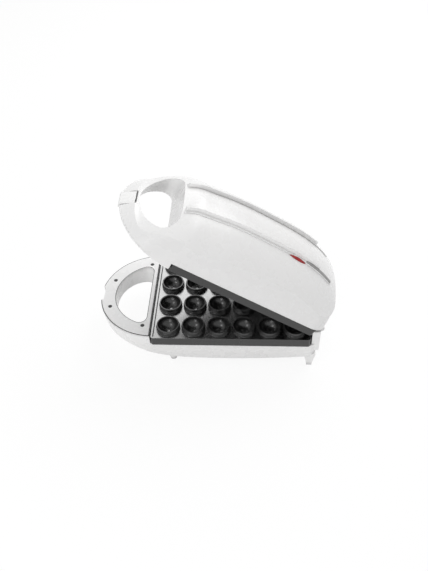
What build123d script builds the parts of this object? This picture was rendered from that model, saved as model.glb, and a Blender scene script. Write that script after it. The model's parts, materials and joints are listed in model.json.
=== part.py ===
from build123d import *
import math
import os

os.makedirs("parts", exist_ok=True)

# All lengths are millimetres, angles are degrees, and +Z is up.
# The origin is the middle of the grid of cups, on the face where the plates meet.
# X runs from the handles (minus) to the hinge (plus); Y runs across the plates.
# The lid is modelled closed and then turned open about the hinge.

# The grid of cups
COLUMNS = 6
ROWS = 4
COLUMN_PITCH = 38.0
ROW_PITCH = 45.3

# The two cast plates
PLATE_FRONT = -120.5
PLATE_REAR = 117.5
PLATE_HALF_WIDTH = 89.5
PLATE_CORNER = 4.0
PLATE_THICK = 3.0
PLATE_EDGE = 3.0
CUP_SKIRT = 15.0
DOME_SKIRT = 12.6
PLATES_GAP = 0.3
LIFT = 0.3

# One nut cup and the dome that goes into it
CUP_MOUTH_R = 15.3
CUP_RIM_R = 17.0
CUP_FOOT_R = 18.0
CUP_RIM_Z = 7.5
CUP_BEND_Z = 2.0
CUP_FLOOR_Z = -8.0
CUP_WALL = 2.7
NUT_WALL = 3.0
DOME_FLOOR_Z = 8.6
DOME_WALL = 2.5
GUARD_GROOVE_X = -116.6
GUARD_GROOVE_WIDTH = 1.2
GUARD_GROOVE_DEPTH = 0.8

# The moulded shells
WALL = 2.5
SHELL_HALF_WIDTH = 89.5
LOOP_CENTRE_X = -118.0
BODY_FRONT = -121.5
HANDLE_TIP = LOOP_CENTRE_X - SHELL_HALF_WIDTH
BEYOND = 1.0
HANDLE_Z = 3.5
COVER_THICK = 2.2
COVER_INSET = 0.7
COVER_GAP = 0.3

# The hole inside each handle loop
HOLE_R = 66.0
HOLE_CORNER = 11.0
BASE_HOLE_X = -129.5
LID_HOLE_LOW_X = -130.5
LID_HOLE_HIGH_X = -134.0
LID_HOLE_HIGH_CORNER = 18.0
LID_HOLE_HIGH_Z = 62.0

# The side profile of the base shell's underside
BASE_REAR = 126.5
BASE_REAR_CORNER = 10.0
BASE_DRAFT = 7.0
BASE_DEPTH = 70.0
BASE_UNDERSIDE = ((-212, -20), (-175, -23), (-145, -30), (-118, -41), (-90, -48.5),
                  (-45, -52.5), (10, -53), (65, -50), (130, -43))

# The lid shell: its lower outline, the slanted outline above it, and its crown
LID_LOW_HALF_WIDTH = 92.5
LID_REAR = 137.0
LID_REAR_CORNER = 30.0
LID_TOP_Z = 90.0
LID_TOP_HALF_WIDTH = 61.0
LID_TOP_LOOP_X = -76.6
LID_TOP_LOOP_R = 40.0
LID_TOP_REAR = 128.0
CROWN_HALF_WIDTH = 95.0
CROWN_BOTTOM = -60.0
# Each station of the crown: its X, its height on the centre line, and its radius across
CROWN = ((-214, 15, 260), (-184, 21, 230), (-169, 28, 205), (-156, 38, 185), (-145, 47, 168),
         (-133, 56, 150), (-100, 68.5, 122), (-50, 75, 117), (0, 76.5, 116), (50, 75.5, 118),
         (95, 67, 125), (120, 56.5, 150), (142, 43, 190))

# The hinge
HINGE_X = 132.0
HINGE_Z = 6.0
LID_OPEN = 33.0
KNUCKLE_R = 6.0
LUG_Y = 56.0
LUG_WIDTH = 11.0
KNUCKLE_WIDTH = 10.0
LUG_GAP = 0.5
REAR_FLOOR_GAP = 0.5
PIN_R = 2.5
PIN_BORE_R = 1.6
BUSH_WALL = 1.0
PIN_SLIP = 0.05
BLOCK_FRONT = 119.5
BLOCK_REAR = 131.0
BLOCK_HALF_WIDTH = 84.0
BLOCK_TOP = 11.5
BLOCK_BOTTOM = -29.0

# Feet
FLOOR_Z = -66.0
PAD_HEIGHT = 5.0
FRONT_FOOT_X = -91.0
FRONT_FOOT_Y = 71.0
FRONT_FOOT_R = 6.0
FRONT_STUB_TOP = -47.0
PAD_INSET = 1.0
LEG_FRONT = 110.0
LEG_REAR = 128.0
LEG_Y = 79.0
LEG_TOP_WIDTH = 10.0
LEG_FOOT_LENGTH = 8.0
LEG_FOOT_WIDTH = 8.0
LEG_DRAFT = 1.0

# Screws and posts
POST_X = 76.0
POST_Y = 79.0
LID_POST_Y = 70.0
POST_R = 5.0
BOSS_R = 3.8
SCREW_R = 1.8
SCREW_HEAD_R = 3.0
SCREW_HEAD_GAP = 0.2
SCREW_SINK = 0.2
SCREW_DRIVE_SHARE = 0.3
SCREW_DRIVE_DEPTH = 0.6
BASE_SCREW_HEAD_Z = -47.0
SCREW_HEAD_THICK = 2.0
SCREW_BORE_R = 1.9
HANDLE_SCREWS = ((-134.0, 67.5), (-189.3, 29.0), (-189.3, -29.0), (-134.0, -67.5))
HANDLE_POST_R = 4.0
HANDLE_SCREW_LENGTH = 8.0
LID_HANDLE_SCREW_LENGTH = 4.0
SCREW_TIP_ROOM = 1.0
LID_SCREW_REACH = 10.0
PLATE_SCREW_REACH = 3.0
PLATE_SCREW_SKIN = 2.0

# Heating elements
TUBE_R = 3.5
TUBE_Y = 45.0
TUBE_FRONT = -76.0
TUBE_REAR = 100.0
TUBE_BEND_R = 12.0
TERMINAL_R = 1.5
TERMINAL_LENGTH = 6.0
CLAMP_XS = (-38.0, 38.0)
CLAMP_BOSS_Y = 8.5
CLAMP_BOSS_R = 2.8
CLAMP_LENGTH = 23.0
CLAMP_WIDTH = 8.0
CLAMP_THICK = 1.2
CLAMP_SCREW_R = 1.2
CLAMP_HEAD_R = 2.3
CLAMP_HEAD_THICK = 1.4

# Reflector trays behind the elements
TRAY_THICK = 0.8
TRAY_LIP = 5.0
TRAY_FRONT = -112.0
TRAY_REAR = 90.0
TRAY_HALF_WIDTH = 75.0
BASE_TRAY_EAR_Y = 82.5
BASE_TRAY_Z = -25.0
LID_TRAY_Z = 25.0

# Rails on the lid and the lamp beside the front one
RAIL_FRONT = -131.0
RAIL_REAR = 84.0
RAIL_INNER_Y = 24.0
RAIL_OUTER_Y = 29.0
RAIL_HEIGHT = 6.5
RAIL_NOSE_SHARE = 0.45
RAIL_TAIL_STEP = 1.0
FLANGE_OUTER_Y = 32.5
FLANGE_HEIGHT = 1.4
FLANGE_REAR = 112.0
LENS_FRONT = 35.0
LENS_REAR = 64.0
LENS_HEIGHT = 4.6
LENS_SIDE_GAP = 0.2
LENS_STEM_INSET = 3.0
LENS_STEM_WIDTH = 1.6
LENS_STEM_REACH = 1.0
LAMP_R = 3.0
LAMP_LENGTH = 20.0
LAMP_Z = 63.0
HOLDER_END = 3.0
HOLDER_SIDE = 2.0
HOLDER_BELOW = 4.0
HOLDER_WALL = 1.0
HOLDER_MOUTH = 5.0

# The latch at the tip of the lid's handle
LATCH_WIDTH = 27.0
LATCH_SIDE_GAP = 0.6
LATCH_PIVOT_X = -194.5
LATCH_PIVOT_Z = 9.7
LATCH_PIN_R = 1.5
LATCH_BARREL_R = 3.2
LATCH_PIN_SLIP = 0.1
LATCH_BARREL_HALF = 8.0
LATCH_INNER_X = -190.5
LATCH_ROOM_X = -187.3
LATCH_FRONT_ROOM_X = -200.0
LATCH_BRIDGE_REAR = -184.0
LATCH_LEG_THICK = 2.0
LATCH_LEG_TOP = 4.5
LATCH_TOOTH_REACH = 1.2
LATCH_TOOTH_THICK = 1.6
LATCH_HOOK_GAP = 0.3
LATCH_HOOK_OVERLAP = 0.8
LATCH_SWUNG = 7.5
CATCH_EDGE_X = -202.0
CATCH_LIP_THICK = 0.8
CATCH_REACH = 7.0
HOOK_ROOM = 4.0
NOTCH_DEPTH = 10.0
SPRING_R = 1.95
SPRING_WIRE_R = 0.25
SPRING_TURNS = 4
SPRING_PITCH = 1.0

# Wiring and controls
LEAD_R = 0.9
LEAD_BEND_R = 1.8
LEAD_STOP = 0.5
LEAD_TURN = 4.5
LEAD_RUN_Z = -18.0
LEAD_STEP = 3.0
LEAD_RISE = 12.0
PIN_LEAD_DEPTH = 8.0
LID_LEAD_RUN_Z = 20.0
THERMOSTAT_R = 8.0
THERMOSTAT_HEIGHT = 8.0
TAB_X = 4.0
TAB_WIDTH = 4.0
TAB_THICK = 0.8
TAB_LENGTH = 6.0
FUSE_R = 2.5
FUSE_LENGTH = 14.0
TERMINAL_X = 98.0
TERMINAL_Y = 20.0
TERMINAL_BOX = (18.0, 22.0, 10.0)
TERMINAL_SEAT_Z = -38.0
TERMINAL_WELL_R = 2.0
LEAD_HOLE_R = 2.2
LEAD_HOLE_Y = 34.0
LID_LEAD_HOLE_X = 124.0
LID_LEAD_HOLE_Y = 74.5
GLAND_Y = 40.0
GLAND_Z = -36.0
GLAND_R = 5.0
GLAND_BORE_R = 3.3
GLAND_FLANGE_R = 6.5
GLAND_REACH = 7.0
GLAND_FLANGE_THICK = 2.0
PASSAGE_WIDTH = 8.0


def cups():
    """The centre of every cup, row by row."""
    for row in range(ROWS):
        y = (row - (ROWS - 1) / 2) * ROW_PITCH
        for column in range(COLUMNS):
            x = (column - (COLUMNS - 1) / 2) * COLUMN_PITCH
            yield x, y


def block(x0, x1, y0, y1, z0, z1):
    """A box between two corners."""
    centre = ((x0 + x1) / 2, (y0 + y1) / 2, (z0 + z1) / 2)
    return Pos(*centre) * Box(x1 - x0, y1 - y0, z1 - z0)


def post(x, y, z0, z1, radius):
    """A round upright post."""
    return Pos(x, y, (z0 + z1) / 2) * Cylinder(radius, z1 - z0)


def rod(x, y0, y1, z, radius):
    """A round bar along Y."""
    return Pos(x, (y0 + y1) / 2, z) * Rot(90, 0, 0) * Cylinder(radius, y1 - y0)


def corners(x, y):
    """The four points at plus and minus x and y."""
    return [(sx * x, sy * y) for sx in (-1, 1) for sy in (-1, 1)]


def opened(shape):
    """A lid part turned from closed to the open rest place."""
    hinge = Axis((HINGE_X, 0, HINGE_Z), (0, 1, 0))
    return shape.rotate(hinge, LID_OPEN)


def outline(half_width, loop_x, loop_r, rear, corner, z):
    """A plan outline: a half round handle end, straight sides, and a squarer rear end."""
    w = half_width
    loop = EllipticalCenterArc((loop_x, 0), loop_r, w, start_angle=90, arc_size=180)
    side = Line((loop_x, -w), (rear - corner, -w))
    turn = RadiusArc((rear - corner, -w), (rear, corner - w), -corner)
    back = Line((rear, corner - w), (rear, w - corner))
    turn_2 = RadiusArc((rear, w - corner), (rear - corner, w), -corner)
    side_2 = Line((rear - corner, w), (loop_x, w))
    wire = Wire([loop, side, turn, back, turn_2, side_2])
    return Pos(0, 0, z) * Face(wire)


def d_face(arc_r, straight_x, corner, z):
    """The D of a handle hole: a round outer side and a straight inner side."""
    disc = Pos(LOOP_CENTRE_X, 0) * Circle(arc_r)
    keep = Pos(straight_x - arc_r, 0) * Rectangle(2 * arc_r, 3 * arc_r)
    shape = disc & keep
    shape = fillet(shape.vertices(), corner)
    return Pos(0, 0, z) * shape.face()


def d_prism(grow, low_x, high_x, high_corner, z0, z1):
    """The space inside a handle hole, grown sideways, from z0 to z1."""
    low = d_face(HOLE_R + grow, low_x + grow, HOLE_CORNER + grow, z0)
    high = d_face(HOLE_R + grow, high_x + grow, high_corner + grow, z1)
    return loft([low, high], ruled=True)


def lid_hole(grow):
    """The hole through the lid's handle loop."""
    return d_prism(grow, LID_HOLE_LOW_X, LID_HOLE_HIGH_X, LID_HOLE_HIGH_CORNER,
                   0, LID_HOLE_HIGH_Z)


def base_hole(grow):
    """The hole through the base's handle loop."""
    return d_prism(grow, BASE_HOLE_X, BASE_HOLE_X, HOLE_CORNER, -BASE_DEPTH, HANDLE_Z)


def crown(lift):
    """The lid's crowned top: a smooth body through arcs at stations along X."""
    w = CROWN_HALF_WIDTH
    sections = []
    for x, height, across in CROWN:
        top = height + lift
        radius = across + lift
        side_z = top - radius + math.sqrt(radius ** 2 - w ** 2)
        arc = ThreePointArc((x, -w, side_z), (x, 0, top), (x, w, side_z))
        rest = Polyline((x, w, side_z), (x, w, CROWN_BOTTOM), (x, -w, CROWN_BOTTOM),
                        (x, -w, side_z))
        sections.append(Face(Wire([arc] + rest.edges())))
    return loft(sections)


def lid_form(inset):
    """The solid shape of the lid, made smaller by a wall."""
    low = outline(LID_LOW_HALF_WIDTH - inset, LOOP_CENTRE_X, SHELL_HALF_WIDTH - inset,
                  LID_REAR - inset, LID_REAR_CORNER - inset, HANDLE_Z)
    high = outline(LID_TOP_HALF_WIDTH - inset, LID_TOP_LOOP_X, LID_TOP_LOOP_R - inset,
                   LID_TOP_REAR - inset, LID_REAR_CORNER - inset, LID_TOP_Z)
    skirt = loft([low, high], ruled=True)
    return skirt & crown(-inset)


def base_form(inset):
    """The solid shape of the base shell, made smaller by a wall."""
    half_width = SHELL_HALF_WIDTH - inset
    top = outline(half_width, LOOP_CENTRE_X, half_width,
                  BASE_REAR - inset, BASE_REAR_CORNER - inset, HANDLE_Z)
    drawn_in = BASE_DEPTH * math.tan(math.radians(BASE_DRAFT))
    low_width = half_width - drawn_in
    bottom = outline(low_width, LOOP_CENTRE_X, low_width,
                     BASE_REAR - inset, BASE_REAR_CORNER - inset, -BASE_DEPTH)
    skirt = loft([top, bottom], ruled=True)
    points = [(x, 0, z + inset) for x, z in BASE_UNDERSIDE]
    under = Spline(*points)
    start = points[0]
    end = points[-1]
    rear_top = (end[0], 0, HANDLE_Z)
    front_top = (start[0], 0, HANDLE_Z)
    over = Line(rear_top, front_top)
    side = Face(Wire([under, Line(end, rear_top), over, Line(front_top, start)]))
    slab = extrude(side, SHELL_HALF_WIDTH + WALL, both=True)
    return skirt & slab


def latch_box(gap, x0, x1, z0, z1):
    """The width of the latch, with a gap at each side."""
    half = LATCH_WIDTH / 2 + gap
    return block(x0, x1, -half, half, z0, z1)


def knuckle_spans():
    """The Y ranges of the base knuckles, one each side of each lid lug."""
    near = LUG_WIDTH / 2 + LUG_GAP
    far = near + KNUCKLE_WIDTH
    spans = []
    for side in (-1, 1):
        y = side * LUG_Y
        spans.append((y - far, y - near))
        spans.append((y + near, y + far))
    return spans


def hinge_block():
    """The upright block behind the lower plate, with knuckles for the hinge pins."""
    w = BLOCK_HALF_WIDTH
    solid = block(BLOCK_FRONT, BLOCK_REAR, -w, w, BLOCK_BOTTOM, BLOCK_TOP)
    inside = block(BLOCK_FRONT + WALL, BLOCK_REAR - WALL, WALL - w, w - WALL,
                   BLOCK_BOTTOM - WALL, BLOCK_TOP - WALL)
    solid = solid - inside
    for y0, y1 in knuckle_spans():
        solid += rod(HINGE_X, y0, y1, HINGE_Z, KNUCKLE_R)
        solid += block(BLOCK_REAR - WALL, HINGE_X, y0, y1, HINGE_Z - KNUCKLE_R, BLOCK_TOP)
    half = LUG_WIDTH / 2 + LUG_GAP
    round_r = KNUCKLE_R + LUG_GAP
    for side in (-1, 1):
        y = side * LUG_Y
        pocket = rod(HINGE_X, y - half - WALL, y + half + WALL, HINGE_Z, round_r + WALL)
        pocket = pocket & block(BLOCK_FRONT, BLOCK_REAR, -w, w, BLOCK_BOTTOM, BLOCK_TOP)
        solid += pocket
    for side in (-1, 1):
        y = side * LUG_Y
        solid -= rod(HINGE_X, y - half, y + half, HINGE_Z, round_r)
        solid -= block(HINGE_X - round_r, HINGE_X, y - half, y + half, HINGE_Z, BLOCK_TOP)
    for y0, y1 in knuckle_spans():
        solid -= rod(HINGE_X, y0, y1, HINGE_Z, PIN_R)
    return solid


def rear_legs():
    """The two tapered legs under the hinge end."""
    legs = Part()
    middle = (LEG_FRONT + LEG_REAR) / 2
    top_z = BASE_UNDERSIDE[-1][1]
    pad_z = FLOOR_Z + PAD_HEIGHT
    for side in (-1, 1):
        top = Pos(middle, side * (LEG_Y - LEG_DRAFT), top_z + WALL)
        top = top * Rectangle(LEG_REAR - LEG_FRONT, LEG_TOP_WIDTH)
        foot_x = LEG_REAR - LEG_FOOT_LENGTH
        foot = Pos(foot_x, side * LEG_Y, pad_z) * Rectangle(LEG_FOOT_LENGTH, LEG_FOOT_WIDTH)
        legs += loft([top.face(), foot.face()], ruled=True)
    return legs


def base_shell():
    """The lower moulded shell with its handle loop, hinge block and legs."""
    cavity = base_form(WALL) - base_hole(WALL)
    shell = base_form(0) - cavity
    cover_z = HANDLE_Z - COVER_THICK
    deep = block(BODY_FRONT, BASE_REAR + BEYOND, -SHELL_HALF_WIDTH, SHELL_HALF_WIDTH, -CUP_SKIRT,
                 HANDLE_Z)
    cross = block(BODY_FRONT - WALL, BODY_FRONT, -SHELL_HALF_WIDTH, SHELL_HALF_WIDTH,
                  -BASE_DEPTH, HANDLE_Z)
    shell += cross & base_form(0)
    posts = Part()
    for x, y in HANDLE_SCREWS:
        posts += post(x, y, -BASE_DEPTH, cover_z, HANDLE_POST_R)
    for x, y in corners(POST_X, POST_Y):
        posts += post(x, y, -BASE_DEPTH, BASE_TRAY_Z, POST_R)
    front = HANDLE_TIP - BEYOND
    catch = latch_box(LATCH_SIDE_GAP + WALL, front, CATCH_EDGE_X + CATCH_REACH,
                      -NOTCH_DEPTH - WALL, cover_z)
    length = TERMINAL_BOX[0]
    width = TERMINAL_BOX[1]
    seat = block(TERMINAL_X - length / 2, TERMINAL_X + length / 2,
                 TERMINAL_Y - width / 2, TERMINAL_Y + width / 2, -BASE_DEPTH, TERMINAL_SEAT_Z)
    shell += (posts + catch + seat) & base_form(0)
    shell -= deep
    shell -= base_hole(0)
    shell -= block(front, BODY_FRONT, -SHELL_HALF_WIDTH, SHELL_HALF_WIDTH, cover_z, HANDLE_Z)
    shell += hinge_block()
    shell += rear_legs()
    for side in (-1, 1):
        y = side * FRONT_FOOT_Y
        shell += post(FRONT_FOOT_X, y, FLOOR_Z + PAD_HEIGHT, FRONT_STUB_TOP, FRONT_FOOT_R)
    notch = latch_box(LATCH_SIDE_GAP, front, CATCH_EDGE_X, -NOTCH_DEPTH, HANDLE_Z)
    hook_room = latch_box(LATCH_SIDE_GAP, CATCH_EDGE_X - BEYOND, CATCH_EDGE_X + HOOK_ROOM,
                          -NOTCH_DEPTH, cover_z - CATCH_LIP_THICK)
    shell -= notch + hook_room
    for x, y in HANDLE_SCREWS:
        shell -= post(x, y, cover_z - HANDLE_SCREW_LENGTH - SCREW_TIP_ROOM, HANDLE_Z,
                      SCREW_BORE_R)
    for x, y in corners(POST_X, POST_Y):
        shell -= post(x, y, -BASE_DEPTH, 0, SCREW_BORE_R)
        shell -= post(x, y, -BASE_DEPTH, BASE_SCREW_HEAD_Z + SCREW_HEAD_THICK,
                      SCREW_HEAD_R + SCREW_HEAD_GAP)
    turn = Rot(0, 90, 0)
    shell -= Pos(BASE_REAR, GLAND_Y, GLAND_Z) * turn * Cylinder(GLAND_R, 4 * WALL)
    shell -= Pos(BLOCK_REAR, LEAD_HOLE_Y, HINGE_Z) * turn * Cylinder(LEAD_HOLE_R, 4 * WALL)
    shell -= lead_passage()
    shell -= lead_pocket()
    return shell


def lead_passage():
    """The way for the leads from the base's inside up into the hinge block."""
    half = PASSAGE_WIDTH / 2
    return block(BLOCK_FRONT + WALL, BASE_REAR - WALL, LEAD_HOLE_Y - half, LEAD_HOLE_Y + half,
                 GLAND_Z, BLOCK_TOP - WALL)


def lead_pocket():
    """The pocket in the hinge block that leaves room for the lid's lead when it is closed."""
    y0 = LUG_Y + LUG_WIDTH / 2 + LUG_GAP + KNUCKLE_WIDTH
    return block(LID_LEAD_HOLE_X - LEAD_HOLE_R, BLOCK_REAR, y0, LID_LEAD_HOLE_Y + LEAD_HOLE_R,
                 HINGE_Z - LEAD_HOLE_R, BLOCK_TOP)


def base_handle_cover():
    """The flat ring that closes the top of the base's handle loop."""
    half_width = SHELL_HALF_WIDTH - COVER_INSET
    z0 = HANDLE_Z - COVER_THICK
    face = outline(half_width, LOOP_CENTRE_X, half_width, BASE_REAR, BASE_REAR_CORNER, z0)
    ring = extrude(face, COVER_THICK, dir=(0, 0, 1))
    front = HANDLE_TIP - BEYOND
    ring = ring & block(front, BODY_FRONT - COVER_GAP, -half_width, half_width, z0, HANDLE_Z)
    ring -= base_hole(COVER_INSET)
    ring -= latch_box(LATCH_SIDE_GAP, front, CATCH_EDGE_X, z0, HANDLE_Z)
    for x, y in HANDLE_SCREWS:
        ring -= post(x, y, z0, HANDLE_Z, SCREW_BORE_R)
        ring -= post(x, y, HANDLE_Z - SCREW_HEAD_THICK / 2, HANDLE_Z,
                     SCREW_HEAD_R + SCREW_HEAD_GAP)
    return ring


def screw(x, y, head_z, tip_z, head_r, radius, head_thick):
    """A screw with a round head at head_z and a shank that ends at tip_z."""
    way = 1 if tip_z > head_z else -1
    head_end = head_z + way * head_thick
    z0, z1 = sorted((head_z, head_end))
    head = post(x, y, z0, z1, head_r)
    drive = post(x, y, head_z - SCREW_DRIVE_DEPTH, head_z + SCREW_DRIVE_DEPTH,
                 head_r * SCREW_DRIVE_SHARE)
    z2, z3 = sorted((head_end, tip_z))
    return head - drive + post(x, y, z2, z3, radius)


def base_handle_screws():
    """Four screws that hold the base's handle cover."""
    tip = HANDLE_Z - COVER_THICK - HANDLE_SCREW_LENGTH
    return [screw(x, y, HANDLE_Z - SCREW_SINK, tip, SCREW_HEAD_R, SCREW_R,
                  SCREW_HEAD_THICK / 2 - SCREW_SINK) for x, y in HANDLE_SCREWS]


def rounded_slab(x0, x1, half_width, corner, z0, z1):
    """A flat plate with rounded upright corners."""
    face = Pos((x0 + x1) / 2, 0, z0) * RectangleRounded(x1 - x0, 2 * half_width, corner)
    return extrude(face.face(), z1 - z0, dir=(0, 0, 1))


def cup_solid(mouth_r, foot_r, top_z, bend_z, wall):
    """A round cup body, bowl shaped below its bend, turned from its half section."""
    bottom_z = CUP_FLOOR_Z - wall
    bowl = TangentArc((0, bottom_z), (foot_r, bend_z), tangent=(1, 0))
    side = Line((foot_r, bend_z), (mouth_r, top_z))
    top = Line((mouth_r, top_z), (0, top_z))
    down = Line((0, top_z), (0, bottom_z))
    half = Face(Wire([bowl, side, top, down]))
    return revolve(Plane.XZ * half, Axis.Z, 360)


def cup_plate():
    """The lower cast plate with a raised round cup for each nut half."""
    plate = rounded_slab(PLATE_FRONT, PLATE_REAR, PLATE_HALF_WIDTH, PLATE_CORNER, -CUP_SKIRT, 0)
    plate -= rounded_slab(PLATE_FRONT + PLATE_EDGE, PLATE_REAR - PLATE_EDGE,
                          PLATE_HALF_WIDTH - PLATE_EDGE, PLATE_CORNER / 2,
                          -CUP_SKIRT, -PLATE_THICK)
    groove_half = GUARD_GROOVE_WIDTH / 2
    plate -= block(GUARD_GROOVE_X - groove_half, GUARD_GROOVE_X + groove_half,
                   -PLATE_HALF_WIDTH + PLATE_EDGE, PLATE_HALF_WIDTH - PLATE_EDGE,
                   -GUARD_GROOVE_DEPTH, 0)
    body = cup_solid(CUP_RIM_R, CUP_FOOT_R, CUP_RIM_Z, -PLATE_THICK / 2, CUP_WALL)
    hollow = cup_solid(CUP_MOUTH_R, CUP_MOUTH_R, CUP_RIM_Z, CUP_BEND_Z, 0)
    plate += [Pos(x, y, 0) * body for x, y in cups()]
    plate -= [Pos(x, y, 0) * hollow for x, y in cups()]
    plate += [post(x, y, BASE_TRAY_Z + TRAY_THICK, -PLATE_THICK, BOSS_R)
              for x, y in corners(POST_X, POST_Y)]
    plate += clamp_bosses(-PLATE_THICK, -1)
    for x, y in corners(POST_X, POST_Y):
        plate -= post(x, y, BASE_TRAY_Z, -PLATE_THICK - PLATE_SCREW_SKIN, SCREW_BORE_R)
    return plate


def clamp_spots():
    """The places of the clamps that hold an element."""
    return [(x, side * TUBE_Y) for x in CLAMP_XS for side in (-1, 1)]


def clamp_bosses(z, way):
    """Short bosses beside the element tube, one each side at every clamp."""
    bosses = []
    z0, z1 = sorted((z, z + way * 2 * TUBE_R))
    for x, y in clamp_spots():
        for side in (-1, 1):
            bosses.append(post(x, y + side * CLAMP_BOSS_Y, z0, z1, CLAMP_BOSS_R))
    return bosses


def clamps(z, way):
    """Flat straps across the element tube, as separate pieces."""
    z0, z1 = sorted((z, z + way * CLAMP_THICK))
    straps = []
    for x, y in clamp_spots():
        strap = block(x - CLAMP_WIDTH / 2, x + CLAMP_WIDTH / 2,
                      y - CLAMP_LENGTH / 2, y + CLAMP_LENGTH / 2, z0, z1)
        for side in (-1, 1):
            strap -= post(x, y + side * CLAMP_BOSS_Y, z0, z1, CLAMP_SCREW_R)
        straps.append(strap)
    return straps


def clamp_screws(z, way):
    """Small screw heads on the clamps, each with a short shank in the strap."""
    screws = []
    for x, y in clamp_spots():
        for side in (-1, 1):
            head = z + way * (CLAMP_THICK + CLAMP_HEAD_THICK)
            screws.append(screw(x, y + side * CLAMP_BOSS_Y, head, z,
                                CLAMP_HEAD_R, CLAMP_SCREW_R, CLAMP_HEAD_THICK))
    return screws


def element(z):
    """A bent tube heater against the back of a plate, with a terminal pin at each end."""
    r = TUBE_BEND_R
    left = TUBE_FRONT
    y = TUBE_Y
    side = Line((TUBE_REAR, y, z), (left + r, y, z))
    bend = CenterArc((left + r, y - r, z), r, 90, 90)
    across = Line((left, y - r, z), (left, r - y, z))
    bend_2 = CenterArc((left + r, r - y, z), r, 180, 90)
    side_2 = Line((left + r, -y, z), (TUBE_REAR, -y, z))
    path = Wire([side, bend, across, bend_2, side_2])
    start = Plane((TUBE_REAR, y, z), z_dir=(-1, 0, 0)) * Circle(TUBE_R)
    tube = sweep(start.face(), path=path)
    pins = Part()
    for side_y in (-y, y):
        pin = Pos(TUBE_REAR + TERMINAL_LENGTH / 2, side_y, z) * Rot(0, 90, 0)
        pins += pin * Cylinder(TERMINAL_R, TERMINAL_LENGTH)
    return tube + pins


def tray(z, way, post_y, ear_y):
    """A thin reflector tray behind an element, with its lips turned to the plate."""
    z0, z1 = sorted((z, z - way * TRAY_THICK))
    sheet = block(TRAY_FRONT, TRAY_REAR, -TRAY_HALF_WIDTH, TRAY_HALF_WIDTH, z0, z1)
    z2, z3 = sorted((z, z - way * TRAY_LIP))
    for x in (TRAY_FRONT, TRAY_REAR - TRAY_THICK):
        sheet += block(x, x + TRAY_THICK, -TRAY_HALF_WIDTH, TRAY_HALF_WIDTH, z2, z3)
    for x in (-POST_X, POST_X):
        sheet += block(x - POST_R, x + POST_R, -ear_y, ear_y, z0, z1)
    for x, y in corners(POST_X, post_y):
        sheet -= post(x, y, z0, z1, SCREW_BORE_R)
    return sheet


def base_plate_screws():
    """Four long screws from under the base, through its posts, into the cup plate."""
    tip = -PLATE_THICK - PLATE_SCREW_REACH
    return [screw(x, y, BASE_SCREW_HEAD_Z, tip, SCREW_HEAD_R, SCREW_R, SCREW_HEAD_THICK)
            for x, y in corners(POST_X, POST_Y)]


def front_feet():
    """Two soft pads under the front stubs."""
    return [post(FRONT_FOOT_X, side * FRONT_FOOT_Y, FLOOR_Z, FLOOR_Z + PAD_HEIGHT,
                 FRONT_FOOT_R - PAD_INSET) for side in (-1, 1)]


def rear_feet():
    """Two soft pads under the tapered legs."""
    pads = []
    x1 = LEG_REAR - LEG_FOOT_LENGTH / 2
    for side in (-1, 1):
        pad = block(x1 - LEG_FOOT_LENGTH, x1, side * LEG_Y - LEG_FOOT_WIDTH / 2,
                    side * LEG_Y + LEG_FOOT_WIDTH / 2, FLOOR_Z, FLOOR_Z + PAD_HEIGHT)
        pads.append(pad)
    return pads


def cord_gland():
    """A round bushing where the mains lead goes in."""
    turn = Rot(0, 90, 0)
    barrel = Pos(BASE_REAR, GLAND_Y, GLAND_Z) * turn * Cylinder(GLAND_R, 2 * GLAND_REACH)
    flange = Pos(BASE_REAR + GLAND_FLANGE_THICK / 2, GLAND_Y, GLAND_Z) * turn
    flange = flange * Cylinder(GLAND_FLANGE_R, GLAND_FLANGE_THICK)
    bore = Pos(BASE_REAR, GLAND_Y, GLAND_Z) * turn * Cylinder(GLAND_BORE_R, 4 * GLAND_REACH)
    return barrel + flange - bore


def dome_plate():
    """The upper cast plate: a tray with a dome for each cup."""
    plate = rounded_slab(PLATE_FRONT, PLATE_REAR, PLATE_HALF_WIDTH, PLATE_CORNER,
                         PLATES_GAP, DOME_SKIRT)
    plate -= rounded_slab(PLATE_FRONT + PLATE_EDGE, PLATE_REAR - PLATE_EDGE,
                          PLATE_HALF_WIDTH - PLATE_EDGE, PLATE_CORNER / 2,
                          PLATES_GAP, DOME_FLOOR_Z)
    radius = CUP_MOUTH_R - NUT_WALL
    dome = dome_solid(radius, CUP_FLOOR_Z + NUT_WALL, DOME_FLOOR_Z)
    core = dome_solid(radius - DOME_WALL, CUP_FLOOR_Z + NUT_WALL + DOME_WALL, DOME_SKIRT)
    plate += [Pos(x, y, 0) * dome for x, y in cups()]
    plate -= [Pos(x, y, 0) * core for x, y in cups()]
    plate += clamp_bosses(DOME_SKIRT, 1)
    plate += [post(x, y, DOME_SKIRT, LID_TRAY_Z - TRAY_THICK, BOSS_R)
              for x, y in corners(POST_X, LID_POST_Y)]
    for x, y in corners(POST_X, LID_POST_Y):
        plate -= post(x, y, 0, LID_TRAY_Z, SCREW_BORE_R)
        plate -= post(x, y, 0, DOME_FLOOR_Z + SCREW_HEAD_THICK,
                      SCREW_HEAD_R + SCREW_HEAD_GAP)
    return plate


def dome_solid(radius, bottom_z, top_z):
    """A dome that hangs down from a plate, turned from its half section."""
    bowl = TangentArc((0, bottom_z), (radius, CUP_BEND_Z), tangent=(1, 0))
    side = Line((radius, CUP_BEND_Z), (radius, top_z))
    top = Line((radius, top_z), (0, top_z))
    down = Line((0, top_z), (0, bottom_z))
    half = Face(Wire([bowl, side, top, down]))
    return revolve(Plane.XZ * half, Axis.Z, 360)


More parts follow.
